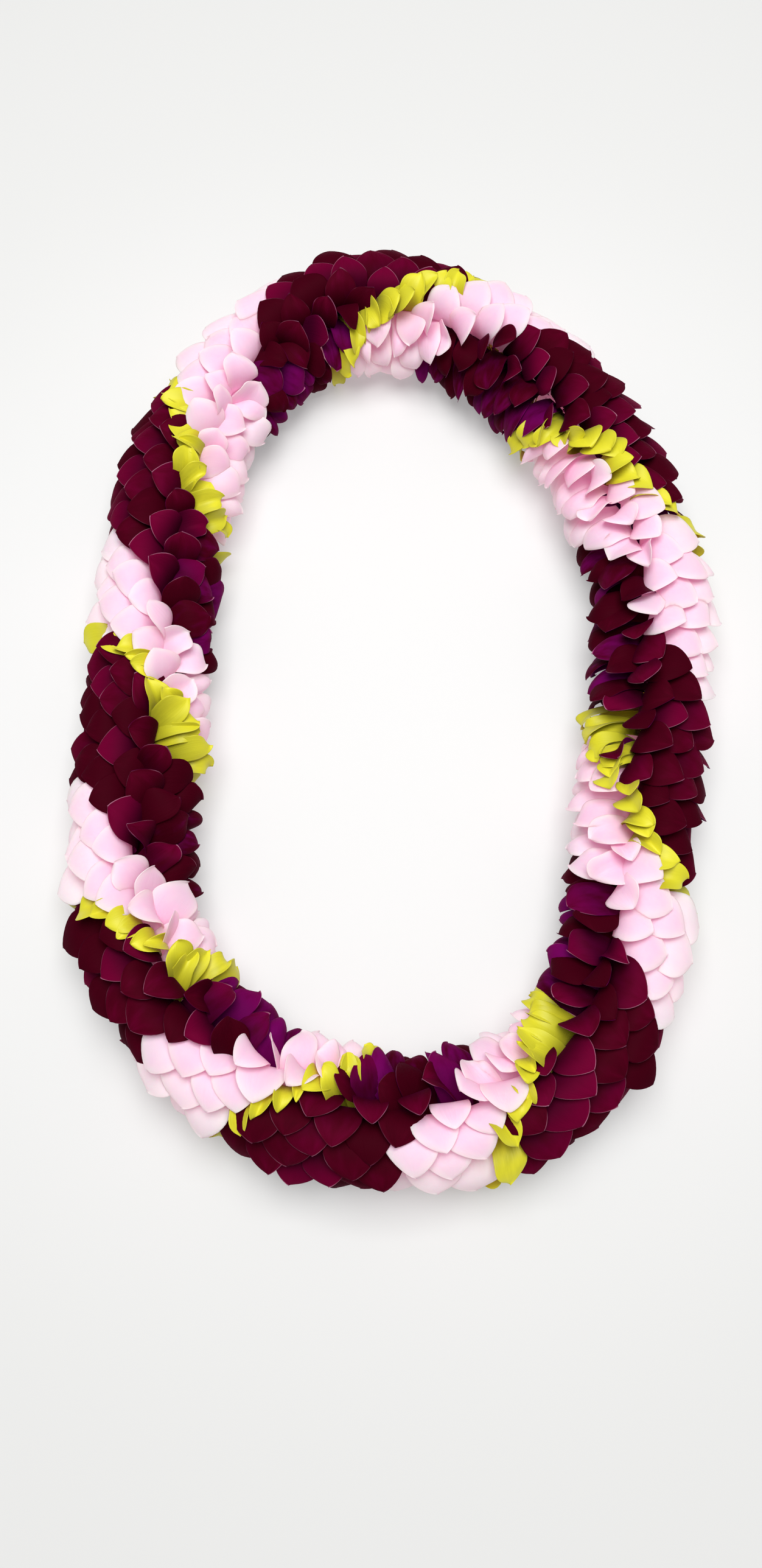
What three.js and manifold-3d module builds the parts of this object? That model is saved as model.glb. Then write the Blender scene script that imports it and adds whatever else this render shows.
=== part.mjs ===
// A fresh flower lei: several hundred orchid petals strung side by side on one thread, which is tied
// into a loop. Dark red, pale pink and yellow-green petals follow each other round the rope, so each
// colour winds round it as a spiral band. The lei lies flat, its lowest petals pressed on the table.
// The petals here are larger and fewer than the real ones, and cover the rope as those do.
// Millimetres, +Z up. The origin is on the table, below the middle of the lei's box.
import * as THREE from 'three';
import { mergeVertices } from 'three/addons/utils/BufferGeometryUtils.js';
import Module from 'manifold-3d';

const wasm = await Module();
wasm.setup();

// The loop that the thread follows, seen from above: x and y are each a sum of harmonics
// [cosine, sine] of one turn round the loop, counterclockwise from the right-hand side. The first
// pair gives the oval, and the others its flattened sides and its lean.
const LOOP_X = [[127.6, -16.6], [1.4, -2.3], [-9.5, 7.4]];
const LOOP_Y = [[26.7, 188.0], [-1.3, -0.2], [-2.4, -9.0]];
const LOOP_SHIFT = [-1.25, -1.32];
const LOOP_SAMPLES = 1440;

// The thread and its knot, and the petals' packed bases round it
const THREAD_HEIGHT = 26.5;
const THREAD_RADIUS = 0.8;
const THREAD_SIDES = 5;
const KNOT_SWELL = 0.9;
const KNOT_ARC = 5;
const KNOT_STATION = 2;
const BORE_RADIUS = 1.8;
const CLAW_RADIUS = 14;

// How the petals are strung: arcs of the loop, rings of petals in each, and slots across each
// colour's band, whose edges are shares of a full turn round the rope
const ARCS = 12;
const RINGS_PER_ARC = 4;
const ARC_CUT = -0.25;
const STATIONS_PER_TURN = 7;
const BANDS = [
  { name: 'green', from: -0.065, to: 0.065, slots: 1, size: 0.8 },
  { name: 'maroon', from: 0.065, to: 0.635, slots: 4, size: 1 },
  { name: 'pink', from: 0.635, to: 0.935, slots: 2, size: 1 },
];
// Where the green row crosses the top of the rope, as shares of the way round the loop
const GREEN_CROSSINGS = [0.064, 0.207, 0.351, 0.475, 0.592, 0.680, 0.780, 0.904];
const TOP_ANGLE = 115;
const BAND_SWAY = 0.04;

// A petal in rows from its root to its tip: how far it reaches as it leans over, half its width,
// its distance from the thread, and how much its middle stands higher than its sides
const PETAL_ROWS = [
  { reach: 0.0, half: 0.0, radius: 10.3, points: 1, crown: 0.0 },
  { reach: 6.9, half: 9.8, radius: 21.0, points: 2, crown: 1.2 },
  { reach: 16.6, half: 12.9, radius: 27.0, points: 3, crown: 1.6 },
  { reach: 24.8, half: 0.0, radius: 29.6, points: 1, crown: 0.0 },
];
const PETAL_THICKNESS = 0.8;

// How the petals lie: they lean away from a parting on the rope's top and back along the thread,
// each with one side over its neighbour, and on the underside they are pressed by the lei's weight
const PARTING_ANGLE = 120;
const FULL_LEAN_ANGLE = 70;
const ROUND_LEAN = 0.92;
const LEAN_RADIUS = 25;
const SIDE_TILT = 0.13;
const UNDERSIDE_TRIM = 0.15;
const UNDERSIDE_PRESS = 0.08;

// Room between two pieces: between packed bases, and where one piece is cut clear of another
const GAP = 0.7;
const CLEARANCE = 0.3;

// Edges shorter than this, left where surfaces almost meet, are closed up
const SHORTEST_EDGE = 0.03;
const SAME_POINT = 1e-4;
const TABLE = { side: 800, depth: 100 };

const COLOURS = {
  maroon: new THREE.MeshStandardMaterial({ color: 0x5a0a35, roughness: 0.6, metalness: 0 }),
  pink: new THREE.MeshStandardMaterial({ color: 0xf6d6ea, roughness: 0.6, metalness: 0 }),
  green: new THREE.MeshStandardMaterial({ color: 0xd8dc28, roughness: 0.6, metalness: 0 }),
  thread: new THREE.MeshStandardMaterial({ color: 0xf2efe6, roughness: 0.9, metalness: 0 }),
};

const { degToRad, radToDeg, euclideanModulo } = THREE.MathUtils;

// The thread's route, as points with the length along it to each
function loopPoint(turn) {
  const sum = (terms) => terms.reduce(
    (total, [c, s], k) => total + c * Math.cos((k + 1) * turn) + s * Math.sin((k + 1) * turn), 0);
  return new THREE.Vector3(sum(LOOP_X) + LOOP_SHIFT[0], sum(LOOP_Y) + LOOP_SHIFT[1], THREAD_HEIGHT);
}
const loopPoints = Array.from(
  { length: LOOP_SAMPLES + 1 }, (_, i) => loopPoint((2 * Math.PI * i) / LOOP_SAMPLES));
const loopLengths = [0];
for (let i = 1; i <= LOOP_SAMPLES; i += 1) {
  loopLengths.push(loopLengths[i - 1] + loopPoints[i].distanceTo(loopPoints[i - 1]));
}
const LOOP_LENGTH = loopLengths[LOOP_SAMPLES];
const RING_STEP = LOOP_LENGTH / (ARCS * RINGS_PER_ARC);

// The point on the thread at a length along it, and the direction out of the loop there
function threadAt(length) {
  const along = euclideanModulo(length, LOOP_LENGTH);
  let low = 0;
  let high = LOOP_SAMPLES;
  while (high - low > 1) {
    const middle = (low + high) >> 1;
    if (loopLengths[middle] <= along) low = middle;
    else high = middle;
  }
  const part = (along - loopLengths[low]) / (loopLengths[high] - loopLengths[low]);
  const point = loopPoints[low].clone().lerp(loopPoints[high], part);
  const slope = (i) => loopPoints[(i + 1) % LOOP_SAMPLES].clone()
    .sub(loopPoints[(i + LOOP_SAMPLES - 1) % LOOP_SAMPLES]).normalize();
  const ahead = slope(low % LOOP_SAMPLES).lerp(slope(high % LOOP_SAMPLES), part).normalize();
  return { point, out: new THREE.Vector3(ahead.y, -ahead.x, 0) };
}

// A point of the rope: a length along the thread, an angle round it (0 outwards, 90 up) and a radius
function ropePoint(length, angle, radius) {
  const { point, out } = threadAt(length);
  return point.clone()
    .addScaledVector(out, radius * Math.cos(degToRad(angle)))
    .add(new THREE.Vector3(0, 0, radius * Math.sin(degToRad(angle))));
}

// Spiral turns made by the bands from the loop's start to a length along it
function turnsAt(length) {
  const laps = Math.floor(length / LOOP_LENGTH);
  const share = length / LOOP_LENGTH - laps;
  const count = GREEN_CROSSINGS.length;
  const knots = [GREEN_CROSSINGS[count - 1] - 1, ...GREEN_CROSSINGS, GREEN_CROSSINGS[0] + 1];
  const next = knots.findIndex((knot) => knot > share);
  const part = (share - knots[next - 1]) / (knots[next] - knots[next - 1]);
  return laps * count + next - 2 + part;
}

// The angle round the thread of one place across the bands, at a length along it. The bands run
// flatter over the top of the rope than under it, so the angle is found by repeated correction.
function bandAngle(length, place) {
  const turns = turnsAt(length) - place;
  let angle = turns * 360;
  for (let i = 0; i < 30; i += 1) {
    angle = 360 * (turns - BAND_SWAY * Math.sin(degToRad(angle)));
  }
  return angle + TOP_ANGLE;
}

// The lengths where an arc's packed bases and the thread are shaped: closer where the bands wind faster
function arcStations(arc) {
  const start = RING_STEP * (arc * RINGS_PER_ARC + ARC_CUT);
  const span = RING_STEP * RINGS_PER_ARC;
  const count = Math.ceil((turnsAt(start + span) - turnsAt(start)) * STATIONS_PER_TURN);
  return Array.from({ length: count + 1 }, (_, i) => start + (span * i) / count);
}

// How much fuller the thread is at a length, for its knot, which lies at one station only
const knotLength = arcStations(KNOT_ARC)[KNOT_STATION];
function knotSwell(length) {
  return Math.abs(length - knotLength) < 1 ? KNOT_SWELL : 0;
}

// A closed solid from a geometry that has only positions
function solidFrom(geometry) {
  const merged = mergeVertices(geometry, SAME_POINT);
  return new wasm.Manifold(new wasm.Mesh({
    numProp: 3,
    vertProperties: new Float32Array(merged.attributes.position.array),
    triVerts: new Uint32Array(merged.index.array),
  }));
}

// A closed solid from shared points and faces
function solidOf(points, faces) {
  const geometry = new THREE.BufferGeometry();
  const numbers = points.flatMap((p) => [p.x, p.y, p.z]);
  geometry.setAttribute('position', new THREE.Float32BufferAttribute(numbers, 3));
  geometry.setIndex(faces.flat());
  return solidFrom(geometry);
}

// Triangles between two rows of points that run the same way
function strip(low, high) {
  const faces = [];
  const share = (row, i) => (row.length > 1 ? (i + 1) / (row.length - 1) : 2);
  let i = 0;
  let j = 0;
  while (i < low.length - 1 || j < high.length - 1) {
    if (i < low.length - 1 && (j === high.length - 1 || share(low, i) <= share(high, j))) {
      faces.push([low[i], low[i + 1], high[j]]);
      i += 1;
    } else {
      faces.push([low[i], high[j + 1], high[j]]);
      j += 1;
    }
  }
  return faces;
}

// A thin blade from its middle surface, whose triangles face outwards: two faces and a rim
function bladeSolid(points, faces, rim, halfThickness) {
  const normals = points.map(() => new THREE.Vector3());
  for (const [a, b, c] of faces) {
    const normal = points[b].clone().sub(points[a]).cross(points[c].clone().sub(points[a]));
    for (const corner of [a, b, c]) normals[corner].add(normal);
  }
  normals.forEach((normal) => normal.normalize());
  const count = points.length;
  const both = [1, -1].flatMap((side) => points.map(
    (p, i) => p.clone().addScaledVector(normals[i], side * halfThickness)));
  const skins = faces.flatMap(([a, b, c]) => [[a, b, c], [c + count, b + count, a + count]]);
  const edges = rim.flatMap((a, i) => {
    const b = rim[(i + 1) % rim.length];
    return [[b, a, a + count], [b, a + count, b + count]];
  });
  return solidOf(both, [...skins, ...edges]);
}

// Which way the petal at an angle leans: its shares along the thread and round it, and how far under
// the rope it is, from 0 at the parting to 1 opposite
function leanAt(angle) {
  const away = euclideanModulo(angle - PARTING_ANGLE + 180, 360) - 180;
  const spread = Math.abs(away) < FULL_LEAN_ANGLE
    ? Math.sin(degToRad((90 * Math.abs(away)) / FULL_LEAN_ANGLE))
    : (180 - Math.abs(away)) / (180 - FULL_LEAN_ANGLE);
  const round = Math.sign(away) * ROUND_LEAN * spread;
  return { along: -Math.sqrt(1 - round * round), round, under: (1 - Math.cos(degToRad(away))) / 2 };
}

// How the lei's own weight presses the petals in towards the thread, at an angle: only on the underside
function pressedShare(angle) {
  return 1 - UNDERSIDE_PRESS * Math.max(0, -Math.sin(degToRad(angle))) ** 2;
}

// One petal, rooted at a length and an angle. grow makes it that much larger all round, for cutting
// room round it out of another piece.
function petal(length, angle, size, grow) {
  const lean = leanAt(angle);
  const fit = size * (1 - UNDERSIDE_TRIM * lean.under);
  const points = [];
  const rows = PETAL_ROWS.map((row, r) => {
    const isTip = r === PETAL_ROWS.length - 1;
    const reach = row.reach * fit + (isTip ? grow : 0);
    const half = row.half > 0 ? row.half * fit + grow : 0;
    const rootDrop = r === 0 ? 3 * grow : 0;
    return Array.from({ length: row.points }, (_, i) => {
      const side = row.points === 1 ? 0 : (2 * i) / (row.points - 1) - 1;
      const across = side * half;
      const along = lean.along * reach - lean.round * across;
      const round = lean.round * reach + lean.along * across;
      const radius = row.radius - rootDrop - SIDE_TILT * across - row.crown * (side * side - 0.5);
      const place = angle + radToDeg(round / LEAN_RADIUS);
      points.push(ropePoint(length + along, place, radius * pressedShare(place)));
      return points.length - 1;
    });
  });
  const faces = rows.slice(1).flatMap((row, r) => strip(rows[r], row));
  const middle = rows.slice(1, -1);
  const rim = [
    rows[0][0],
    ...middle.map((row) => row[row.length - 1]),
    rows[rows.length - 1][0],
    ...middle.map((row) => row[0]).reverse(),
  ];
  return bladeSolid(points, faces, rim, PETAL_THICKNESS / 2 + grow);
}

// The packed bases of one colour's petals along one arc: a wedge of the rope that winds with its band
function clawWedge(band, arc, grow) {
  const outerSteps = band.slots;
  const innerSteps = Math.ceil(band.slots * 0.75);
  const lengths = arcStations(arc);
  const last = lengths.length - 1;
  const inset = GAP / 2 - grow;
  const points = [];
  lengths.forEach((step, i) => {
    const length = step + (i === 0 ? inset : 0) - (i === last ? inset : 0);
    const [low, high] = [bandAngle(step, band.to), bandAngle(step, band.from)];
    const corner = (radius, part) => {
      const trim = radToDeg(inset / radius);
      points.push(ropePoint(length, low + trim + (high - low - 2 * trim) * part, radius));
    };
    const bore = BORE_RADIUS + knotSwell(step) - grow;
    for (let k = 0; k <= outerSteps; k += 1) corner(CLAW_RADIUS + grow, k / outerSteps);
    for (let k = innerSteps; k >= 0; k -= 1) corner(bore, k / innerSteps);
  });
  const ring = outerSteps + innerSteps + 2;
  const faces = [];
  for (let i = 0; i < last; i += 1) {
    for (let k = 0; k < ring; k += 1) {
      const [a, b] = [i * ring + k, i * ring + ((k + 1) % ring)];
      const [c, d] = [a + ring, b + ring];
      // Each face is split along its shorter diagonal, and walls that face each other along the same one
      if (k <= outerSteps) faces.push([c, b, a], [c, d, b]);
      else faces.push([d, b, a], [c, d, a]);
    }
  }
  const outer = Array.from({ length: outerSteps + 1 }, (_, k) => k);
  const inner = Array.from({ length: innerSteps + 1 }, (_, k) => ring - 1 - k);
  for (const [a, b, c] of strip(inner, outer)) {
    faces.push([c, b, a], [a + last * ring, b + last * ring, c + last * ring]);
  }
  return solidOf(points, faces);
}

// The thread, tied into a loop: a round tube that closes on itself, fuller at its knot
function threadSolid() {
  const lengths = Array.from({ length: ARCS }, (_, arc) => arcStations(arc).slice(0, -1)).flat();
  const points = [];
  const faces = [];
  lengths.forEach((length, i) => {
    const next = (i + 1) % lengths.length;
    for (let k = 0; k < THREAD_SIDES; k += 1) {
      points.push(ropePoint(length, (360 * k) / THREAD_SIDES, THREAD_RADIUS + knotSwell(length)));
      const [a, b] = [i * THREAD_SIDES + k, i * THREAD_SIDES + ((k + 1) % THREAD_SIDES)];
      const [c, d] = [next * THREAD_SIDES + k, next * THREAD_SIDES + ((k + 1) % THREAD_SIDES)];
      faces.push([a, d, b], [a, c, d]);
    }
  });
  return solidOf(points, faces);
}

// One colour's petals along one arc of the lei, joined to their packed bases
function bandArc(band, arc, grow) {
  const pieces = [clawWedge(band, arc, grow)];
  for (let ring = 0; ring < RINGS_PER_ARC; ring += 1) {
    for (let slot = 0; slot < band.slots; slot += 1) {
      const place = band.from + ((band.to - band.from) * (slot + 0.5)) / band.slots;
      const length = RING_STEP * (arc * RINGS_PER_ARC + ring);
      pieces.push(petal(length, bandAngle(length, place), band.size, grow));
    }
  }
  return wasm.Manifold.union(pieces);
}

function tableSolid() {
  const slab = new THREE.BoxGeometry(TABLE.side, TABLE.side, TABLE.depth);
  slab.translate(0, 0, -TABLE.depth / 2);
  slab.deleteAttribute('normal');
  slab.deleteAttribute('uv');
  return solidFrom(slab);
}

function boxesMeet(one, other) {
  const [a, b] = [one.boundingBox(), other.boundingBox()];
  return [0, 1, 2].every((axis) => a.min[axis] < b.max[axis] && b.min[axis] < a.max[axis]);
}

function meshOf(name, solid, material) {
  const { vertProperties, triVerts } = solid.getMesh();
  const geometry = new THREE.BufferGeometry();
  geometry.setAttribute('position', new THREE.BufferAttribute(vertProperties, 3));
  geometry.setIndex(new THREE.BufferAttribute(triVerts, 1));
  geometry.computeVertexNormals();
  const mesh = new THREE.Mesh(geometry, material);
  mesh.name = name;
  return mesh;
}

// Each colour's arcs in turn, cut flat where they meet the table and clear of the arcs before them
const lei = new THREE.Group();
const table = tableSolid();
const placed = [];
for (const band of BANDS) {
  for (let arc = 0; arc < ARCS; arc += 1) {
    let solid = bandArc(band, arc, 0).subtract(table);
    for (const other of placed.filter((grown) => boxesMeet(solid, grown))) {
      if (solid.intersect(other).volume() > 0) solid = solid.subtract(other);
    }
    const bodies = solid.simplify(SHORTEST_EDGE).decompose();
    const whole = bodies.sort((a, b) => b.volume() - a.volume())[0];
    lei.add(meshOf(`${band.name}_petals_${arc + 1}`, whole, COLOURS[band.name]));
    placed.push(bandArc(band, arc, CLEARANCE));
  }
}
lei.add(meshOf('stringing_thread', threadSolid(), COLOURS.thread));

export default lei;
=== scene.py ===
# %% [markdown]
# # A fresh flower lei
# A lei is a garland. About a thousand orchid petals are strung side by side on one thread, which is
# then tied into a loop. Three colours follow each other round this rope of petals: dark red, pale
# pink, and one narrow row of yellow-green. This lesson makes every petal as its own thin closed
# sheet, lays the petals round the thread so that they overlap like scales, and gives each colour a
# finish of its own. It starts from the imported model, which is the same lei with larger and fewer
# petals, and keeps that model's line and thickness.

# %% Load the frame
import math

import bpy
import numpy as np
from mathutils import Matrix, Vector


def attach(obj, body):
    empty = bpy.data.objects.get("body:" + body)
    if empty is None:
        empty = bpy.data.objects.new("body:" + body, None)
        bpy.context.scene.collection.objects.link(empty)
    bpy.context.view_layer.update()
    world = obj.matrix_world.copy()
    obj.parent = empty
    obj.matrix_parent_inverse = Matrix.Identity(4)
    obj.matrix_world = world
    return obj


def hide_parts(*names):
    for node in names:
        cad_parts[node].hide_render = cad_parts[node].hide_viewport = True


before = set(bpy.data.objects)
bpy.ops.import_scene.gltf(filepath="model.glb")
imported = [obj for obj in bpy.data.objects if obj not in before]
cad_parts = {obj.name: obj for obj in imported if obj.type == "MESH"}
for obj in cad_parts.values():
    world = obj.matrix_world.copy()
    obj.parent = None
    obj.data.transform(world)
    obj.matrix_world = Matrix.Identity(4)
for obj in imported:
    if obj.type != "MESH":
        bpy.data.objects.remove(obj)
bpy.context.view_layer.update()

print("frame nodes:", len(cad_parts))

# %% [markdown]
# Sizes are in millimetres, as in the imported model, and become metres where a mesh is written. The
# line of the thread could be a curve that is drawn by hand. Here it is two sums of cosines and sines,
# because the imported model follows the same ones. They give an oval with flattened sides, and any
# point of it can be worked out from how far along the thread it is.

# %% The line of the thread
# Cosine and sine terms, in millimetres, of one, two and three waves round the loop.
LOOP_X = [[127.6, -16.6], [1.4, -2.3], [-9.5, 7.4]]
LOOP_Y = [[26.7, 188.0], [-1.3, -0.2], [-2.4, -9.0]]
LOOP_SHIFT = [-1.25, -1.32]
LOOP_SAMPLES = 1440


def harmonic_sum(terms, turn):
    """One coordinate of the loop: cosine and sine terms of one, two and three waves a turn."""
    return sum(cosine * np.cos(waves * turn) + sine * np.sin(waves * turn)
               for waves, (cosine, sine) in enumerate(terms, start=1))


turn = np.linspace(0, 2 * np.pi, LOOP_SAMPLES + 1)
loop_x = harmonic_sum(LOOP_X, turn) + LOOP_SHIFT[0]
loop_y = harmonic_sum(LOOP_Y, turn) + LOOP_SHIFT[1]
loop_lengths = np.concatenate([[0], np.cumsum(np.hypot(np.diff(loop_x), np.diff(loop_y)))])
LOOP_LENGTH = loop_lengths[-1]
ahead_x = np.gradient(loop_x, loop_lengths)
ahead_y = np.gradient(loop_y, loop_lengths)
ahead_x[[0, -1]] = (ahead_x[0] + ahead_x[-1]) / 2
ahead_y[[0, -1]] = (ahead_y[0] + ahead_y[-1]) / 2
print("thread length, mm:", round(LOOP_LENGTH, 1))

# %% [markdown]
# Everything on the rope is placed by three numbers: how far along the thread it is, its angle round
# the thread, and how far from the thread it stands. The angle is 0 on the outside of the loop, 90 at
# the top and 180 on the inside. Fresh petals don't lie evenly round a thread, so the rope wanders a
# few millimetres out and in, as it does in the photograph.

# %% A point of the rope
THREAD_HEIGHT = 26.5
# Millimetres outwards, at even steps along the thread.
WANDER = [6.9, 0.0, -3.4, -4.7, -2.5, -0.7, -1.2, -4.5, -1.6, 1.1, 2.0, -1.0, -3.5,
          0.4, 3.6, 2.4, 1.5, 0.2, 0.2, 3.4, 8.0, 1.4, -2.1, -1.3, 2.5]
WANDER_PLACES = (np.arange(len(WANDER)) + 0.5) / len(WANDER)
WANDER_WIDTH = 0.03


def smooth_wander():
    """How far out the rope lies from the smooth loop, for every sample of the loop."""
    gap = (loop_lengths[:, None] / LOOP_LENGTH - WANDER_PLACES + 0.5) % 1 - 0.5
    weight = np.exp(-((gap / WANDER_WIDTH) ** 2))
    return (weight * WANDER).sum(axis=1) / weight.sum(axis=1)


loop_wander = smooth_wander()


def rope_point(length, angle, radius):
    """Points in millimetres, for arrays of lengths, angles in degrees and radii."""
    along = np.mod(length, LOOP_LENGTH)
    forward_x = np.interp(along, loop_lengths, ahead_x)
    forward_y = np.interp(along, loop_lengths, ahead_y)
    wander = np.interp(along, loop_lengths, loop_wander)
    out = (radius * np.cos(np.radians(angle)) + wander) / np.hypot(forward_x, forward_y)
    x = np.interp(along, loop_lengths, loop_x) + forward_y * out
    y = np.interp(along, loop_lengths, loop_y) - forward_x * out
    z = THREAD_HEIGHT + radius * np.sin(np.radians(angle))
    return np.stack([x, y, z], axis=-1)


print("rope wanders, mm:", round(loop_wander.min(), 1), "to", round(loop_wander.max(), 1))

# %% [markdown]
# The colours wind round the rope as spiral bands, eight turns in all. A lei strung by hand isn't
# even, so the places where the green row comes over the top were read from the photograph, and so was
# the share of each turn where the dark red ends. The rest of a turn is pink, and a little more of it
# inside the loop. A band slants over the top and the underside and goes almost straight round at the
# sides, which a sum of two sines gives.

# %% Spiral bands
# The crossings are shares of the loop, and the widths below are shares of one turn.
GREEN_CROSSINGS = [0.0909, 0.2223, 0.3768, 0.4864, 0.6037, 0.6951, 0.7916, 0.9181]
TOP_ANGLE = 115.0
BAND_SWAY = [0.004, 0.07]
GREEN_HALF = 0.048
MAROON_ENDS = [0.625, 0.58, 0.605, 0.62, 0.6, 0.635, 0.618, 0.565]
INNER_PINK_MORE = 0.045
INNER_PINK_ANGLE = 160.0
INNER_PINK_WIDTH = 30.0
HALVINGS = 30


def turns_at(length):
    """Spiral turns made from the loop's start to a length along it."""
    laps = np.floor(length / LOOP_LENGTH)
    count = len(GREEN_CROSSINGS)
    knots = [GREEN_CROSSINGS[-1] - 1, *GREEN_CROSSINGS, GREEN_CROSSINGS[0] + 1]
    return laps * count + np.interp(length / LOOP_LENGTH - laps, knots, np.arange(-1, count + 1))


def turned(angle):
    """Turns of a band that has come round to an angle, its sway included."""
    past_top = angle - TOP_ANGLE
    sway = sum(part * np.sin((n + 1) * np.radians(past_top)) for n, part in enumerate(BAND_SWAY))
    return past_top / 360 + sway


def colours_at(length, angle):
    """The band that each point of the rope lies in. Across one turn they are green, maroon and pink."""
    angle = np.mod(angle - TOP_ANGLE + 180, 360) + TOP_ANGLE - 180
    turns = turns_at(length) - turned(angle) + GREEN_HALF
    lap = np.floor(turns).astype(int) % len(MAROON_ENDS)
    place = np.mod(turns, 1) - GREEN_HALF
    inside = np.exp(-(((angle - INNER_PINK_ANGLE) / INNER_PINK_WIDTH) ** 2))
    maroon_end = np.array(MAROON_ENDS)[lap] - INNER_PINK_MORE * inside
    return np.select([place < GREEN_HALF, place < maroon_end, place < 1 - GREEN_HALF],
                     ["green", "maroon", "pink"], "green")


def green_angle(length):
    """The angle of the green row, found by halving the range that it lies in again and again."""
    turns = turns_at(length)
    low = turns * 360 + TOP_ANGLE - 180
    high = turns * 360 + TOP_ANGLE + 180
    for _ in range(HALVINGS):
        angle = (low + high) / 2
        past = turned(angle) > turns
        low = np.where(past, low, angle)
        high = np.where(past, angle, high)
    return angle


print("spiral turns:", len(GREEN_CROSSINGS))

# %% [markdown]
# Petals could be laid ring by ring, but rings show as lines across the rope. Here each one is turned
# from the one before by nearly the golden angle. Many plants set their leaves in this way, and it
# spreads the petals evenly with no straight rows. The turn is rounded so that the last petal meets
# the first, and each petal takes the colour of the band that it lies in. The narrow green row is the
# exception: petals that fall in it are left out, and its own are threaded close together in one line.

# %% String the petals
PETALS_STRUNG = 980
GOLDEN_TURN = 137.508
GREEN_PETALS = 204


def string_petals():
    """For each colour, the lengths along the thread and the angles round it of all its petals."""
    laps = round(PETALS_STRUNG * GOLDEN_TURN / 360)
    order = np.arange(PETALS_STRUNG)
    lengths = (order + 0.5) / PETALS_STRUNG * LOOP_LENGTH
    angles = order * laps * 360 / PETALS_STRUNG
    colours = colours_at(lengths, angles)
    green = (np.arange(GREEN_PETALS) + 0.5) / GREEN_PETALS * LOOP_LENGTH
    strung = {"green": (green, green_angle(green))}
    for colour in ("maroon", "pink"):
        strung[colour] = lengths[colours == colour], angles[colours == colour]
    return strung


strung = string_petals()
print("petals:", {colour: len(lengths) for colour, (lengths, _) in strung.items()})

# %% [markdown]
# An orchid petal is narrow where it grew, widest past its middle, and ends in a blunt corner. It is
# drawn once, flat, as a grid of rows from root to tip and columns from side to side. A grid was
# chosen over a filled outline because every petal can then be bent smoothly by formulas. The rows
# come closer together towards the tip and the columns towards the sides, where the outline turns.

# %% The flat petal
ROWS = 16
COLUMNS = 12
ROW_CROWDING = 1.45
COLUMN_ANGLE = 82
PETAL_LENGTH = 31.0
HALF_WIDTH = 9.9
HALF_CLAW = 6.6
HALF_TIP = 0.25
WIDEST = 0.62
SHOULDER = 1.9
TIP_ROUNDNESS = 0.78
OUTLINE_SAMPLES = 160


def half_width(share):
    """Half the petal's width at a share of its length."""
    opening = np.sin(np.pi / 2 * np.clip(share / WIDEST, 0, 1))
    closing = (1 - np.clip((share - WIDEST) / (1 - WIDEST), 0, 1) ** SHOULDER) ** TIP_ROUNDNESS
    return np.where(share < WIDEST, HALF_CLAW + (HALF_WIDTH - HALF_CLAW) * opening,
                    HALF_TIP + (HALF_WIDTH - HALF_TIP) * closing)


def margin_distance(x, y):
    """How far points of the flat petal are from its outline, in millimetres."""
    share = np.linspace(0, 1, OUTLINE_SAMPLES)
    gap_x = np.abs(x)[..., None] - half_width(share)
    gap_y = y[..., None] - share * PETAL_LENGTH
    return np.sqrt(gap_x ** 2 + gap_y ** 2).min(axis=-1)


row_share = 1 - (1 - np.linspace(0, 1, ROWS)) ** ROW_CROWDING
column_angles = np.radians(np.linspace(-COLUMN_ANGLE, COLUMN_ANGLE, COLUMNS))
column_share = np.sin(column_angles) / math.sin(math.radians(COLUMN_ANGLE))
grid_u, grid_v = np.meshgrid(row_share, column_share, indexing="ij")
flat_x = grid_v * half_width(grid_u)
flat_y = grid_u * PETAL_LENGTH
margin = margin_distance(flat_x, flat_y)
print("petal grid:", grid_u.shape, "deepest point from its margin, mm:", round(float(margin.max()), 1))

# %% [markdown]
# How a petal lies depends on where it is round the rope. Along the top, a little towards the inside
# of the loop, runs a parting, where petals are crowded and stand up. Inside the loop they are crowded
# too. Low on the outer side they bend outwards, and underneath they are pressed on the table. Fixed
# borders between these zones would show, so each petal gets a share from 0 to 1 of every zone.

# %% Zones round the rope
PARTING_ANGLE = 121.0
PARTING_WIDTH = 22.0
# Degrees from the parting where a zone begins or ends, first and last.
INSIDE_BEGINS = (5, 40)
INSIDE_ENDS = (120, 180)
LOW_BEGINS = (62, 95)
LOW_ENDS = (125, 160)
UNDER_BEGINS = (90, 170)
OUTER_SIDE_BEGINS = (50, 110)
INNER_SIDE_BEGINS = (25, 75)


def wrap(angle):
    """An angle brought into the half turn on either side of 0."""
    return np.mod(angle + 180, 360) - 180


def smooth(low, high, value):
    """0 below low, 1 above high, and a smooth step between."""
    part = np.clip((value - low) / (high - low), 0, 1)
    return part * part * (3 - 2 * part)


def zones_at(colour, away):
    """Each petal's share of every zone, from its degrees away from the parting, inwards above 0."""
    zones = {"everywhere": 1.0, "green": float(colour == "green"), "pink": float(colour == "pink")}
    zones["parting"] = np.exp(-((away / PARTING_WIDTH) ** 2))
    zones["inside"] = smooth(*INSIDE_BEGINS, away) * (1 - smooth(*INSIDE_ENDS, away))
    zones["low"] = smooth(*LOW_BEGINS, -away) * (1 - smooth(*LOW_ENDS, -away))
    zones["under"] = smooth(*UNDER_BEGINS, np.abs(away))
    zones["side"] = smooth(*OUTER_SIDE_BEGINS, -away) + smooth(*INNER_SIDE_BEGINS, away)
    for both in ("pink parting", "green parting", "green inside"):
        colour_name, zone = both.split()
        zones[both] = zones[colour_name] * zones[zone]
    return zones


print("zones:", ", ".join(zones_at("maroon", np.zeros(1))))

# %% [markdown]
# Petals lean away from the parting on both sides, and forward or back along the thread by an angle
# that changes round the loop, as the photograph shows. On the outer side they lie smooth, like
# scales. At the parting some stand on edge, fold along their middle and twist. Inside the loop they
# turn their domed backs out and curl in. Each table says how much a petal has of something
# everywhere, and how much a zone adds. Where two numbers stand, single petals differ by the second.

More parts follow.
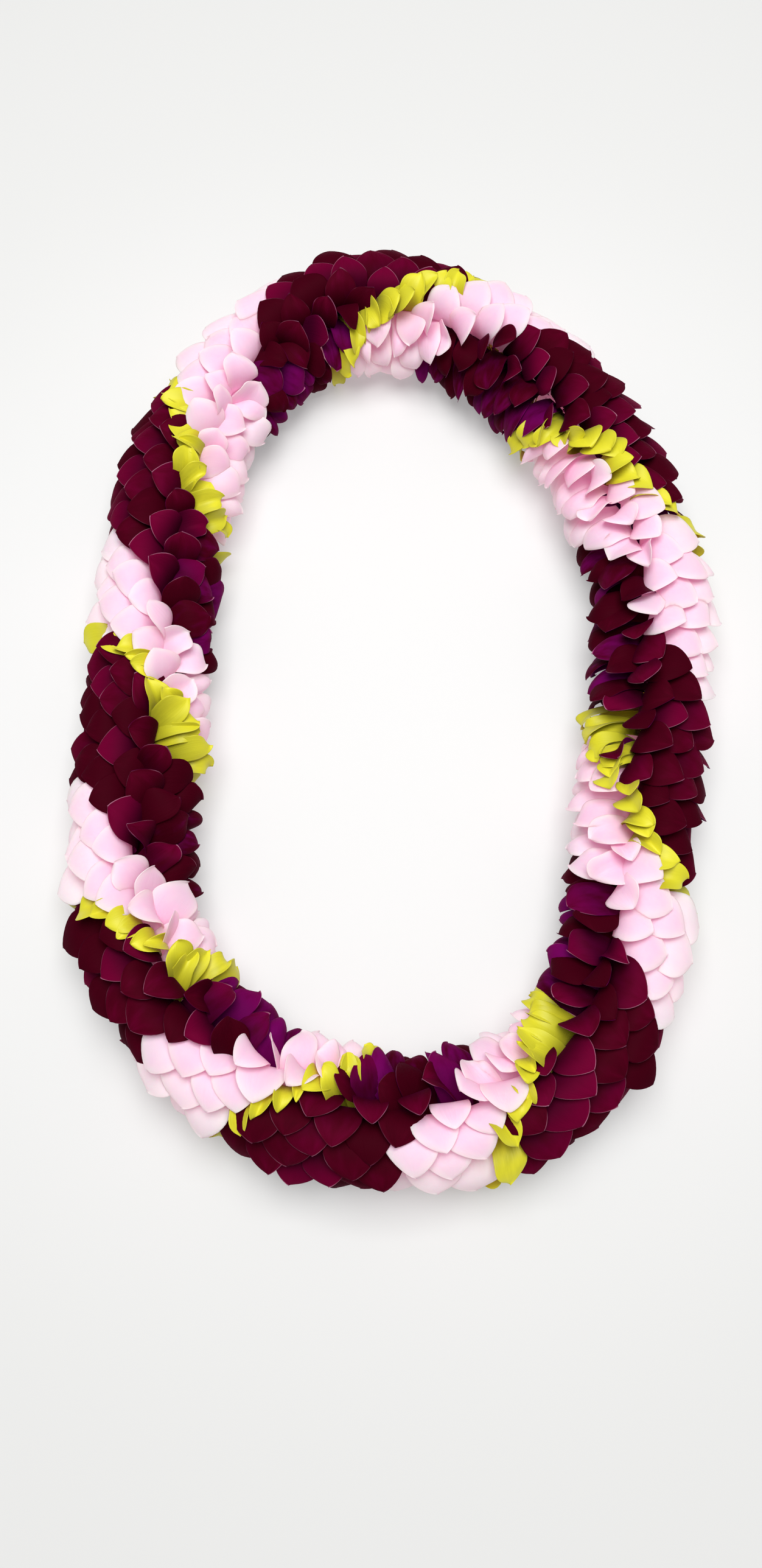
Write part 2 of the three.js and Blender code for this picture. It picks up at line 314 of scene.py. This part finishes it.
# %% How much the petals lean and bend
ROOT_RADIUS = 3.0
LEAN_RADIUS = 25.0
SEEN_SHARE = 0.8
PARTING_PUSH = 6.5
PUSH_WIDTH = 8.0
SIDE_LEAN_ANGLE = 15.0
BACKWARD_PLACES = [0.0, 0.1, 0.22, 0.33, 0.48, 0.6, 0.68, 0.75, 0.8, 0.9, 1.0]
BACKWARD_ANGLES = [24, 28, -8, -20, 0, -16, -24, -8, -10, 18, 24]
INSIDE_BACK_LESS = 0.3
INSIDE_TURN_LESS = 0.2

# Times the flat petal's size. Then in millimetres: how far a petal reaches over the rope's skin, how
# far its tip stands from the thread, and how high its margins wave.
SIZE = {"everywhere": 1.0, "green": -0.28, "green parting": 0.1, "pink": 0.05}
REACH = {"everywhere": 22.0, "parting": -4.0, "inside": -3.5, "low": -5.5}
TIP_RADIUS = {"everywhere": 25.0, "parting": 4.4, "inside": 6.0, "green": 1.8}
WAVE = {"everywhere": 0.5, "parting": 0.6, "pink parting": 0.5, "inside": 0.7, "green": 0.7}
# Degrees that each half is folded up, or down where it is below 0, and millimetres that the tip curls.
FOLD = {"everywhere": (-8, 7), "parting": (24, 36), "inside": (-20, 26), "low": (0, 10)}
CURL = {"everywhere": (2.2, 1.3), "parting": (0, 1.5), "inside": (-3.0, 1.8), "low": (2.2, 1.9),
        "green": (-0.3, 1.0)}
CROWDED_SMALLER = 0.12
GREEN_REACH_MORE = 0.16
PINK_FOLD_MORE = 12
GREEN_FOLD = 36
GREEN_FOLD_LESS = 22
SIDE_TILT = 2.0
ON_EDGE_SHARE = 0.25
ON_EDGE_TWIST = 38
INSIDE_POINT_LESS = 0.8
INSIDE_SKEW_LESS = 0.6

# %% [markdown]
# No two petals on a lei are alike, and even ones would look like plastic. Each of these numbers says
# how far single petals differ in one thing. The draws are seeded, so that they are the same each run.

# %% How far single petals differ
SEED = 20
PARTING_UNEVEN = 5.0
ANGLE_UNEVEN = 3.5
LENGTH_UNEVEN = 1.5
SIZE_UNEVEN = 0.13
CROWDED_UNEVEN = 0.08
REACH_UNEVEN = {"everywhere": 0.06, "low": 0.08}
TURN_UNEVEN = {"everywhere": 11, "parting": 26, "inside": 22, "green": 10}
TIP_UNEVEN = {"everywhere": 1.2, "low": 0.9}
TWIST_UNEVEN = {"everywhere": 6, "parting": 14, "inside": 4, "green": 8, "green inside": -2.4}
GREEN_FOLD_UNEVEN = 24
SKEW_UNEVEN = 2.4

# %% [markdown]
# How the petals lie is kept in arrays: one for their sizes, one for their folds and so on, with one
# number for each petal. Python could go through the petals one by one, but this is much quicker.


# %% How each petal lies
def side_lean(lengths, away, zones):
    """Degrees that each petal turns to the side from straight along the thread."""
    backward = np.interp(np.mod(lengths / LOOP_LENGTH, 1), BACKWARD_PLACES, BACKWARD_ANGLES)
    backward = backward * (1 - INSIDE_BACK_LESS * zones["inside"])
    lean = np.sign(away) * (90 - backward) * (1 - np.exp(-np.abs(away) / SIDE_LEAN_ANGLE))
    return lean * (1 - zones["under"]) * (1 - INSIDE_TURN_LESS * zones["inside"])


def petal_lie(colour, lengths, angles, random):
    """Each petal's own place and bends, from its zones and seeded draws."""
    count = len(lengths)

    def draw():
        return random.uniform(-1, 1, count)

    def over(table):
        return sum(zones[zone] * amount for zone, amount in table.items())

    def drawn(table):
        return over({zone: middle + uneven * draw() for zone, (middle, uneven) in table.items()})

    away = wrap(angles - PARTING_ANGLE + PARTING_UNEVEN * draw())
    push = PARTING_PUSH * (1 - np.exp(-np.abs(away) / PUSH_WIDTH))
    angles = angles + np.sign(away) * push + ANGLE_UNEVEN * draw()
    zones = zones_at(colour, away)
    inside = zones["inside"]

    size = over(SIZE) * (1 + SIZE_UNEVEN * draw())
    smaller = CROWDED_SMALLER + CROWDED_UNEVEN * draw()
    size = size * (1 - smaller * np.maximum(zones["parting"], inside))
    reach = over(REACH) * (size + GREEN_REACH_MORE * zones["green"])
    reach = reach * (1 + over(REACH_UNEVEN) * draw())
    side_turn = side_lean(lengths, away, zones) + over(TURN_UNEVEN) * draw()
    seen = SEEN_SHARE * reach

    lie = {"inside": inside, "side": zones["side"], "size": size, "reach": reach, "way": 180 - side_turn}
    lie["length"] = lengths + seen * np.cos(np.radians(side_turn)) + LENGTH_UNEVEN * draw()
    lie["angle"] = angles - np.degrees(seen * np.sin(np.radians(side_turn)) / LEAN_RADIUS)
    lie["tip"] = over(TIP_RADIUS) + over(TIP_UNEVEN) * draw()
    on_edge = (random.uniform(0, 1, count) < ON_EDGE_SHARE) * np.sign(draw())
    on_edge = on_edge * ON_EDGE_TWIST * zones["parting"] * (1 - zones["green"])
    lie["twist"] = SIDE_TILT * np.sign(away) + over(TWIST_UNEVEN) * draw() + on_edge
    lie["fold"] = drawn(FOLD) + PINK_FOLD_MORE * zones["pink parting"]
    if colour == "green":
        lie["fold"] = GREEN_FOLD + GREEN_FOLD_UNEVEN * draw()
        lie["fold"] = lie["fold"] - GREEN_FOLD_LESS * np.maximum(inside, zones["low"])
    lie["wave"] = over(WAVE)
    lie["phase"] = random.uniform(0, 1, count)
    lie["curl"] = drawn(CURL)
    lie["point"] = (1 + draw()) / 2 * (1 - INSIDE_POINT_LESS * inside)
    lie["skew"] = SKEW_UNEVEN * draw() * (1 - INSIDE_SKEW_LESS * inside)
    lie["draw"] = random.uniform(0, 1, count)
    return lie


# %% [markdown]
# A flat petal is folded along its middle or domed, twisted, and rippled at its margins. Then it is
# laid on the rope: its root stands at the thread, and it rises quickly to the rope's skin and runs
# along it. A fold raises the margins, so a folded petal sinks by as much as keeps them among the
# others. Modifiers could bend one petal at a time, but these formulas bend all of them at once. Under
# the rope the lei's weight presses the petals, and the table stops them.

# %% Bend the sheets
POINTING = 0.3
FOLD_BEGINS = (0.05, 0.6)
FOLD_KEEL = 1.2
DOME_KEEL = 5.0
FOLD_SINK = 3.4
RIPPLES = 1.2
RIPPLE_SHIFT = 0.22
REACH_POWER = 1.3
RISE_POWER = 2.5
POINT_POWER = 4
SKEW_POWER = 2
CURL_POWER = 3
UNDERSIDE_PRESS = 0.08
FLOOR_PRESS = 1.4


def petal_sheets(lie):
    """The middle surface of every petal, as an array of petals, rows, columns and coordinates."""
    value = {name: numbers[:, None, None] for name, numbers in lie.items()}
    u = grid_u[None]
    v = grid_v[None]

    side = flat_x[None] * value["size"] * (1 - POINTING * value["point"] * u ** POINT_POWER)
    side = side + value["skew"] * u ** SKEW_POWER
    fold = np.radians(value["fold"]) * smooth(*FOLD_BEGINS, u)
    keel = np.where(fold > 0, FOLD_KEEL, DOME_KEEL)
    height = (np.sqrt(side ** 2 + keel ** 2) - keel) * np.sin(fold)
    height = height - FOLD_SINK * np.maximum(0, np.sin(fold))
    side = side * np.cos(fold)
    twist = np.radians(value["twist"])
    across = side * np.cos(twist) - height * np.sin(twist)
    height = side * np.sin(twist) + height * np.cos(twist)
    ripple = np.sin(2 * np.pi * (RIPPLES * u + value["phase"] + RIPPLE_SHIFT * np.sign(v)))
    height = height + value["wave"] * v ** 2 * u * ripple

    reach = value["reach"] * u ** REACH_POWER
    rise = ROOT_RADIUS + (value["tip"] - ROOT_RADIUS) * (1 - (1 - u) ** RISE_POWER)
    rise = rise + value["curl"] * u ** CURL_POWER
    way = np.radians(value["way"])
    along = np.cos(way) * reach - np.sin(way) * across
    round_way = np.sin(way) * reach + np.cos(way) * across
    angle = value["angle"] + np.degrees(round_way / LEAN_RADIUS)
    pressed = 1 - UNDERSIDE_PRESS * np.maximum(0, -np.sin(np.radians(angle))) ** 2
    points = rope_point(value["length"] + along, angle, (rise + height) * pressed)
    low = points[..., 2]
    flattened = FLOOR_PRESS * np.exp((low - FLOOR_PRESS) / FLOOR_PRESS)
    points[..., 2] = np.where(low < FLOOR_PRESS, flattened, low)
    return points


# %% [markdown]
# A sheet has no thickness, so each petal gets two faces and a rim, thinner towards its margin. The
# faces of one petal are worked out once and repeated for all, which is much quicker than adding a
# solidify modifier to a thousand objects. Numbers that the finishes need, such as the distance from
# the margin, are kept on the mesh as attributes.

# %% From sheets to closed petals
MM = 0.001
PETAL_THICKNESS = 0.42
MARGIN_THICKNESS = 0.45
MARGIN_WIDTH = 2.5
FLOOR_GAP = 0.05


def petal_faces():
    """The quads of one closed petal: its outer face, its inner face and its rim."""
    index = np.arange(ROWS * COLUMNS).reshape(ROWS, COLUMNS)
    outer = np.stack([index[:-1, :-1], index[1:, :-1], index[1:, 1:], index[:-1, 1:]], axis=-1)
    outer = outer.reshape(-1, 4)
    inner = outer[:, ::-1] + ROWS * COLUMNS
    loop = np.concatenate([index[:, 0], index[-1, 1:], index[-2::-1, -1], index[0, -2:0:-1]])
    after = np.roll(loop, -1)
    rim = np.stack([after, loop, loop + ROWS * COLUMNS, after + ROWS * COLUMNS], axis=-1)
    return np.concatenate([outer, inner, rim])


def petal_points(lie):
    """The points of the closed petals, as an array of petals, sides, rows, columns and coordinates."""
    middle = petal_sheets(lie)
    normal = np.cross(np.gradient(middle, axis=1), np.gradient(middle, axis=2))
    normal /= np.linalg.norm(normal, axis=-1, keepdims=True)
    thickness = MARGIN_THICKNESS + (1 - MARGIN_THICKNESS) * smooth(0, MARGIN_WIDTH, margin)
    half = (PETAL_THICKNESS / 2 * thickness)[None, ..., None]
    points = np.stack([middle + normal * half, middle - normal * half], axis=1)
    points[..., 2] = np.maximum(points[..., 2], FLOOR_GAP)
    return points


def petal_mesh(name, lie):
    """One mesh of closed petals, with its attributes."""
    points = petal_points(lie)
    shape = points.shape[:-1]
    faces = petal_faces()[None] + (np.arange(len(points)) * 2 * ROWS * COLUMNS)[:, None, None]
    mesh = bpy.data.meshes.new(name)
    mesh.vertices.add(points.size // 3)
    mesh.vertices.foreach_set("co", (points * MM).ravel())
    mesh.loops.add(faces.size)
    mesh.loops.foreach_set("vertex_index", faces.ravel())
    mesh.polygons.add(faces.size // 4)
    mesh.polygons.foreach_set("loop_start", np.arange(0, faces.size, 4))
    mesh.polygons.foreach_set("use_smooth", np.ones(faces.size // 4, dtype=bool))
    mesh.update(calc_edges=True)
    told = {"margin": margin, "along": grid_u, "across": grid_v, "back": np.array([0, 1])[:, None, None]}
    for key in ("draw", "inside", "side"):
        told[key] = lie[key][:, None, None, None]
    for key, numbers in told.items():
        attribute = mesh.attributes.new(key, "FLOAT", "POINT")
        attribute.data.foreach_set("value", np.broadcast_to(numbers, shape).astype(float).ravel())
    return mesh


print("quads of one petal:", len(petal_faces()))

# %% [markdown]
# The petals of one colour along a twelfth of the loop are one piece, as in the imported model. They
# replace its coarser petals there. One object for each petal would be easier to pick up and move, but
# a thousand of them are slow to work with.

# %% Lay the petals
ARCS = 12
ARC_START = -0.0625

pieces = {}
triangles = 0
for number, (colour, (lengths, angles)) in enumerate(strung.items()):
    random = np.random.default_rng([SEED, number])
    lie = petal_lie(colour, lengths, angles, random)
    arc_of = np.floor(np.mod(lengths / LOOP_LENGTH * ARCS - ARC_START, ARCS)).astype(int)
    for arc in range(ARCS):
        node = f"{colour}_petals_{arc + 1}"
        mesh = petal_mesh(node, {key: numbers[arc_of == arc] for key, numbers in lie.items()})
        piece = bpy.data.objects.new(f"fine_{node}", mesh)
        bpy.context.scene.collection.objects.link(piece)
        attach(piece, "root")
        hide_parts(node)
        pieces.setdefault(colour, []).append(piece)
        triangles += 2 * len(mesh.polygons)
print("petal triangles:", triangles)

# %% [markdown]
# Finishes are made of nodes, which could be placed and linked by hand in the shader editor. Here they
# are written as small sums. Each socket is wrapped, so that plain arithmetic adds the Math nodes.


# %% A wire for shader maths
class Wire:
    """The output of a node, or arithmetic on such outputs."""

    def __init__(self, bench, socket):
        self.bench = bench
        self.socket = socket

    def math(self, operation, *values):
        return self.bench.node("ShaderNodeMath", {"operation": operation}, dict(enumerate(values)))

    def __add__(self, other):
        return self.math("ADD", self, other)

    def __sub__(self, other):
        return self.math("SUBTRACT", self, other)

    def __rsub__(self, other):
        return self.math("SUBTRACT", other, self)

    def __mul__(self, other):
        return self.math("MULTIPLY", self, other)

    __radd__ = __add__
    __rmul__ = __mul__


# %% [markdown]
# A bench holds one material and its nodes. What is the same all over a surface is set once, on the
# shader's own sockets, when the bench is made. What changes over it comes last, through finish.

# %% A bench for one material
BUMP_DISTANCE = 0.0004


class Bench:
    """One material and its nodes."""

    def __init__(self, name, **constants):
        self.material = bpy.data.materials.new(name)
        self.material.use_nodes = True
        self.tree = self.material.node_tree
        self.surface = self.tree.nodes["Principled BSDF"]
        for socket, value in constants.items():
            self.join(value, self.surface.inputs[socket.replace("_", " ")])

    def join(self, value, socket):
        """A wire is linked to a socket, and a number or a colour is set on it."""
        if isinstance(value, Wire):
            self.tree.links.new(value.socket, socket)
        elif socket.type == "RGBA":
            socket.default_value = (*value, 1)
        else:
            socket.default_value = value

    def node(self, kind, settings, sockets, output=0):
        """A node: its settings first, then the values or wires of its sockets, by name or number."""
        made = self.tree.nodes.new(kind)
        for key, value in settings.items():
            setattr(made, key, value)
        for key, value in sockets.items():
            self.join(value, made.inputs[key])
        return Wire(self, made.outputs[output])

    def told(self, name):
        """A number kept on the mesh."""
        return self.node("ShaderNodeAttribute", {"attribute_name": name}, {}, "Fac")

    def step(self, value, low, high):
        """0 at low, 1 at high and smooth between."""
        sockets = {0: value, 1: low, 2: high}
        return self.node("ShaderNodeMapRange", {"interpolation_type": "SMOOTHSTEP"}, sockets)

    def mix(self, share, first, second):
        """A colour between two others. The node's colours are its inputs 6 and 7 and its output 2."""
        return self.node("ShaderNodeMix", {"data_type": "RGBA"}, {0: share, 6: first, 7: second}, 2)

    def place(self, x, y, z):
        """A vector of three numbers."""
        return self.node("ShaderNodeCombineXYZ", {}, {"X": x, "Y": y, "Z": z})

    def noise(self, vector, scale):
        """Soft random spots between 0 and 1."""
        return self.node("ShaderNodeTexNoise", {}, {"Vector": vector, "Scale": scale})

    def finish(self, colour, roughness, height=None, strength=1.0):
        """The colour, the roughness and the bump reach the surface."""
        self.join(colour, self.surface.inputs["Base Color"])
        self.join(roughness, self.surface.inputs["Roughness"])
        if height is not None:
            sockets = {"Strength": strength, "Distance": BUMP_DISTANCE, "Height": height}
            self.join(self.node("ShaderNodeBump", {}, sockets), self.surface.inputs["Normal"])
        return self.material


# %% [markdown]
# All the petals have fine veins from root to tip and a soft mottle. A painted picture would need each
# petal unwrapped. Instead, both are noise that is read by the place on the petal, squeezed from side
# to side for the veins. Each petal reads its own part of the noise, so that no two look alike.

# %% Veins and mottle
OWN_NOISE = 37.0
VEIN_LENGTH = 1.2
MOTTLE_ACROSS = 2.0
MOTTLE_ALONG = 3.0


def veins(bench, count):
    """Fine lines from root to tip, and a mottle that differs from petal to petal."""
    own = bench.told("draw") * OWN_NOISE
    across = bench.told("across")
    along = bench.told("along")
    lines = bench.noise(bench.place(across * count, along * VEIN_LENGTH, own), 1.0)
    mottle = bench.noise(bench.place(across * MOTTLE_ACROSS, along * MOTTLE_ALONG, own), 1.0)
    return lines, mottle


# %% [markdown]
# The dark red petals look like velvet: very dark where they face the eye and a little lighter at a
# grazing angle, which is what sheen gives. Some are brighter towards the tip. Towards the root all
# stay deep red, partly their own deeper colour and partly painted shade where the petals above lie
# over them. Some inside the loop are flushed with purple, and so are the backs of all. One even red
# would run together into a dark mass, so the thin margin near the tip is pale and uneven from petal
# to petal, partly the paler edge of fresh petals and partly a painted highlight where light catches it.

# %% Dark red petals
MAROON_VEINS = 9.0
DEEP_RED_AND_SHADE = (0.042, 0.0003, 0.005)
BRIGHT_RED = (0.13, 0.0004, 0.018)
PURPLE = (0.19, 0.002, 0.14)
PALE_MARGIN_AND_HIGHLIGHT = (0.60, 0.25, 0.38)
# Each pair is where a mask begins and where it is full.
BRIGHT_PETALS = (0.3, 1.4)
SHADE_ENDS_ALONG = (0.45, 0.95)
FLUSHED_PETALS = (0.45, 0.8)
PALE_ALONG = (0.62, 0.9)
PALE_PETALS = (0.55, 0.95)
PALE_MARGIN_MM = (0.1, 0.45)
BRIGHT_MOTTLE = 0.6
FLUSH_MOTTLE = 0.5
FLUSH_DRAW = 0.6
FLUSH_EVERYWHERE = 0.05
FLUSH_INSIDE = 0.5
BACK_PURPLE = 0.75
PALE_DRAW = 0.5
UNEVEN_MARGIN_MM = 0.2
MARGIN_HIGHLIGHT_SHOWS = 0.7


def maroon_finish():
    """Velvet dark red with painted shade towards the root, purple backs, and pale margins near the tip
    that are partly painted highlight.
    """
    bench = Bench("maroon_petal", Sheen_Weight=0.04, Sheen_Roughness=0.4, Sheen_Tint=(1.0, 0.0, 0.35),
                  Specular_IOR_Level=0.015)
    lines, mottle = veins(bench, MAROON_VEINS)
    bright = bench.step(bench.told("draw") + mottle * BRIGHT_MOTTLE, *BRIGHT_PETALS)
    # Towards the root the red stays deep: partly the petals' own colour, partly painted shade under the
    # petals above.
    colour = bench.mix(bright * bench.step(bench.told("along"), *SHADE_ENDS_ALONG), DEEP_RED_AND_SHADE, BRIGHT_RED)
    flushed = bench.step(mottle * FLUSH_MOTTLE + bench.told("draw") * FLUSH_DRAW, *FLUSHED_PETALS)
    flush = (bench.told("inside") * FLUSH_INSIDE + FLUSH_EVERYWHERE) * flushed
    colour = bench.mix(flush, colour, PURPLE)
    colour = bench.mix(bench.told("back") * BACK_PURPLE, colour, PURPLE)
    # The pale line at the margin near the tip is partly the petals' own paler edge and partly a painted
    # highlight where light catches the thin rim.
    tip = bench.step(bench.told("along"), *PALE_ALONG)
    uneven = bench.step(mottle + bench.told("draw") * PALE_DRAW, *PALE_PETALS)
    edge = 1 - bench.step(bench.told("margin") + lines * UNEVEN_MARGIN_MM, *PALE_MARGIN_MM)
    colour = bench.mix(edge * tip * uneven * MARGIN_HIGHLIGHT_SHOWS, colour, PALE_MARGIN_AND_HIGHLIGHT)
    return bench.finish(colour, roughness=0.62, height=lines, strength=0.35)


maroon = maroon_finish()
print("nodes of the dark red finish:", len(maroon.node_tree.nodes))


# %% [markdown]
# The pink petals are thin and pale, and light comes through them from behind and from the petals
# beside them. Transparency would show the petals underneath, so subsurface scattering spreads the
# light, and a faint glow stands for the light that bounces about between the petals. Their margins
# fade to cream. The petals at the rope's sides are painted nearly white, which is painted light for
# the strong light and the light from the white floor that fall on them there.

# %% Pink petals
PINK_VEINS = 8.0
ROSE = (0.81, 0.49, 0.67)
BLUSH = (0.85, 0.57, 0.69)
CREAM = (0.86, 0.65, 0.71)
SIDE_PAINTED_LIGHT = (0.90, 0.80, 0.82)
CREAM_MARGIN_MM = (0.5, 6.5)
UNEVEN_CREAM_MM = 3.0
SIDE_LIGHT_SHARE = 0.7


def pink_finish():
    """Pale pink that lets light through, with cream margins and painted light at the rope's sides."""
    bench = Bench("pink_petal", Specular_IOR_Level=0.25, Subsurface_Weight=0.6,
                  Subsurface_Radius=(1.0, 0.4, 0.6), Subsurface_Scale=0.003,
                  Emission_Color=(1.0, 0.3, 0.5), Emission_Strength=0.12)
    lines, mottle = veins(bench, PINK_VEINS)
    colour = bench.mix(mottle, ROSE, BLUSH)
    edge = 1 - bench.step(bench.told("margin") + mottle * UNEVEN_CREAM_MM, *CREAM_MARGIN_MM)
    colour = bench.mix(edge, colour, CREAM)
    # Petals at the rope's sides turn nearly white: painted light for the strong light and the white
    # floor's light there.
    colour = bench.mix(bench.told("side") * SIDE_LIGHT_SHARE, colour, SIDE_PAINTED_LIGHT)
    return bench.finish(colour, roughness=0.55, height=lines, strength=0.25)


pink = pink_finish()
print("nodes of the pink finish:", len(pink.node_tree.nodes))


# %% [markdown]
# The green petals come from a yellow-green orchid. They are darkest and olive at the base, partly
# their own colour and partly painted shade where the petals cup and lie over each other. They turn
# lime further along, sooner on some petals than on others, and have yellow patches. A ramp along the
# petal could give that too, but mixing one colour over another lets every petal turn its own way.

# %% Green petals
GREEN_VEINS = 8.0
OLIVE_AND_SHADE = (0.34, 0.33, 0.012)
LIME = (0.66, 0.62, 0.022)
YELLOW = (0.80, 0.73, 0.025)
LIME_ALONG = (0.15, 0.85)
LIME_LATER = 0.25


def green_finish():
    """Olive at the base, partly painted shade, turning lime, with yellow patches."""
    bench = Bench("green_petal", Sheen_Weight=0.05, Specular_IOR_Level=0.35)
    lines, mottle = veins(bench, GREEN_VEINS)
    # Olive at the base is partly the petals' own colour and partly painted shade where they cup and
    # overlap.
    lime_share = bench.step(bench.told("along") - bench.told("draw") * LIME_LATER, *LIME_ALONG)
    colour = bench.mix(lime_share, OLIVE_AND_SHADE, LIME)
    colour = bench.mix(mottle * bench.told("draw"), colour, YELLOW)
    return bench.finish(colour, roughness=0.5, height=lines, strength=0.3)


green = green_finish()
print("nodes of the green finish:", len(green.node_tree.nodes))


# %% [markdown]
# Every petal could have a material of its own. One finish serves all the petals of a colour instead,
# because what differs between them is told by their meshes, and that keeps the render quick.

# %% Give the petals their finishes
finishes = {"maroon": maroon, "pink": pink, "green": green}
for colour, made in pieces.items():
    for piece in made:
        piece.data.materials.append(finishes[colour])
print("finishes:", ", ".join(material.name for material in finishes.values()))

# %% [markdown]
# The thread is cotton, hidden among the petals' bases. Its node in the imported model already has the
# right shape, so it stays and only gets a finish. Twisted strands could be modelled, but fine noise in
# two creams is enough for what shows of them.

# %% Thread
STRAND_SCALE = 900.0
THREAD_SHADE = (0.62, 0.58, 0.48)
THREAD_LIGHT = (0.86, 0.83, 0.75)


def thread_finish():
    """Cotton in two creams."""
    bench = Bench("thread", Specular_IOR_Level=0.2)
    strands = bench.noise(bench.node("ShaderNodeTexCoord", {}, {}, "Object"), STRAND_SCALE)
    colour = bench.mix(strands, THREAD_SHADE, THREAD_LIGHT)
    return bench.finish(colour, roughness=0.7, height=strands, strength=0.5)


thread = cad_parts["stringing_thread"]
thread.data.materials.clear()
thread.data.materials.append(thread_finish())
print("thread slots:", len(thread.data.materials))

# %% [markdown]
# The lei lies on a white sheet that the photograph overexposes, so its shadows there are faint. A
# brighter lamp would bleach the petals as well. The floor glows a little instead, which fills the
# shadows on it and leaves the petals as they are. It is painted a little darker far from the lei,
# which is painted shade where the light falls off away from the middle.

# %% Floor
FLOOR_SIZE = 12.0
FLOOR_GLOW = 0.3
FLOOR_NEAR = (0.525, 0.525, 0.52)
FLOOR_FAR_SHADED = (0.465, 0.465, 0.455)
FLOOR_SHADE_FADES = (0.12, 0.36)


def stage_floor():
    """A plain white floor that glows a little."""
    bpy.ops.mesh.primitive_plane_add(size=FLOOR_SIZE, location=(0, 0, 0))
    floor = bpy.context.object
    floor.name = "floor"
    bench = Bench("floor", Specular_IOR_Level=0.1, Emission_Color=(1, 1, 1),
                  Emission_Strength=FLOOR_GLOW)
    place = bench.node("ShaderNodeTexCoord", {}, {}, "Object")
    far = bench.node("ShaderNodeVectorMath", {"operation": "LENGTH"}, {0: place}, "Value")
    # Further from the middle the white is painted darker: painted shade where the light falls off.
    white = bench.mix(bench.step(far, *FLOOR_SHADE_FADES), FLOOR_NEAR, FLOOR_FAR_SHADED)
    floor.data.materials.append(bench.finish(white, roughness=0.9))
    return floor


print("floor, m:", tuple(stage_floor().dimensions))

# %% [markdown]
# The light is soft and comes from above, as in a room with a white ceiling. One wide lamp over the lei
# gives the soft shadows between the petals. A weak sun with a wide disc brightens what faces up, and
# a pale sky fills the sides. A small lamp would give hard shadows that the photograph doesn't have.
# The Standard view shows the white floor and the pinks as bright as they are set.

# %% Light
LAMP_PLACE = (0.0, 0.1, 1.2)
LAMP_POWER = 13.9
LAMP_WIDTH = 0.75
SUN_FROM = (0.0, 0.0, 1.0)
SUN_STRENGTH = 0.6
SUN_DISC = 40
SKY_STRENGTH = 0.27


def soft_light(name, kind, place, strength, softness):
    """A wide lamp at a place over the lei, or a sun from that side: softness in metres or degrees."""
    lamp = bpy.data.lights.new(name, kind)
    lamp.energy = strength
    if kind == "AREA":
        lamp.size = softness
    else:
        lamp.angle = math.radians(softness)
    holder = bpy.data.objects.new(name, lamp)
    bpy.context.scene.collection.objects.link(holder)
    holder.location = place
    holder.rotation_mode = "QUATERNION"
    holder.rotation_quaternion = Vector(place).to_track_quat("Z", "Y")


soft_light("lamp", "AREA", LAMP_PLACE, LAMP_POWER, LAMP_WIDTH)
soft_light("sun", "SUN", SUN_FROM, SUN_STRENGTH, SUN_DISC)
world = bpy.data.worlds.new("sky")
world.use_nodes = True
world.node_tree.nodes["Background"].inputs["Color"].default_value = (1, 1, 1, 1)
world.node_tree.nodes["Background"].inputs["Strength"].default_value = SKY_STRENGTH
bpy.context.scene.world = world
bpy.context.scene.view_settings.view_transform = "Standard"
print("lights:", len(bpy.data.lights))

# %% [markdown]
# The photograph looks down on the lei from nearly straight above, 15 degrees off. Its frame is
# upright, so the lens is worked out for the longer side, which Blender fits the sensor to.

# %% Camera
CAMERA_PLACE = (-0.00565, -0.2091, 0.6254)
CAMERA_TILT = 15.0
FIELD_OF_VIEW = 60.0
SENSOR = 36.0

camera = bpy.data.cameras.new("camera")
camera.sensor_width = SENSOR
camera.lens = SENSOR / 2 / math.tan(math.radians(FIELD_OF_VIEW / 2))
viewer = bpy.data.objects.new("camera", camera)
viewer.location = CAMERA_PLACE
viewer.rotation_euler = (math.radians(CAMERA_TILT), 0, 0)
bpy.context.scene.collection.objects.link(viewer)
bpy.context.scene.camera = viewer
print("lens, mm:", round(camera.lens, 1))
